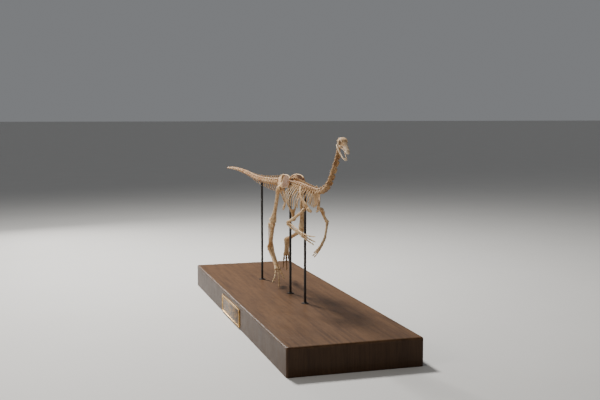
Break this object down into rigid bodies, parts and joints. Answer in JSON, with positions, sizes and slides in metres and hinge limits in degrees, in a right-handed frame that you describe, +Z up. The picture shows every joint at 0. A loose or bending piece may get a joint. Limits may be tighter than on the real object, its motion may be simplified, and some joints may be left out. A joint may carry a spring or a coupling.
{
  "type": "mounted ornithomimid dinosaur skeleton",
  "caption": "Life-size mounted skeleton of an ostrich-like dinosaur in a running pose, held by upright rods on a wooden board with a bare brass plate.",
  "frame": {"origin": "middle of the board's underside, on the floor", "axes": "+X the way the animal faces, along the board; +Y the animal's left; +Z up"},
  "size_m": [4.42, 1.3103, 2.0731],
  "materials": {
    "bone": "aged cream to tan bone, dull, as cast in resin",
    "bone_skull": "paler aged bone, dull, as cast in resin",
    "walnut": "dark walnut, satin, grain along the length",
    "black_steel": "black steel, satin",
    "brass": "polished brass"
  },
  "bodies": {
    "root": {"board": "walnut", "femur_left": "bone", "femur_right": "bone", "fibula_left": "bone", "fibula_right": "bone", "finger_first_left": "bone", "finger_first_right": "bone", "finger_second_left": "bone", "finger_second_right": "bone", "finger_third_left": "bone", "finger_third_right": "bone", "flange_chest": "black_steel", "flange_hip": "black_steel", "flange_tail": "black_steel", "humerus_left": "bone", "humerus_right": "bone", "ischium": "bone", "jaw": "bone_skull", "metacarpus_left": "bone", "metacarpus_right": "bone", "metatarsus_left": "bone", "metatarsus_right": "bone", "neck_lower": "bone", "neck_upper": "bone", "pelvis": "bone", "plaque": "brass", "pubis": "bone", "radius_left": "bone", "radius_right": "bone", "rib_cage_left": "bone", "rib_cage_right": "bone", "rod_chest": "black_steel", "rod_hip": "black_steel", "rod_tail": "black_steel", "scapula_left": "bone", "scapula_right": "bone", "skull": "bone_skull", "tail_middle": "bone", "tail_root": "bone", "tail_tip": "bone", "tibia_left": "bone", "tibia_right": "bone", "toe_inner_left": "bone", "toe_inner_right": "bone", "toe_middle_left": "bone", "toe_middle_right": "bone", "toe_outer_left": "bone", "toe_outer_right": "bone", "ulna_left": "bone", "ulna_right": "bone"}
  },
  "joints": []
}
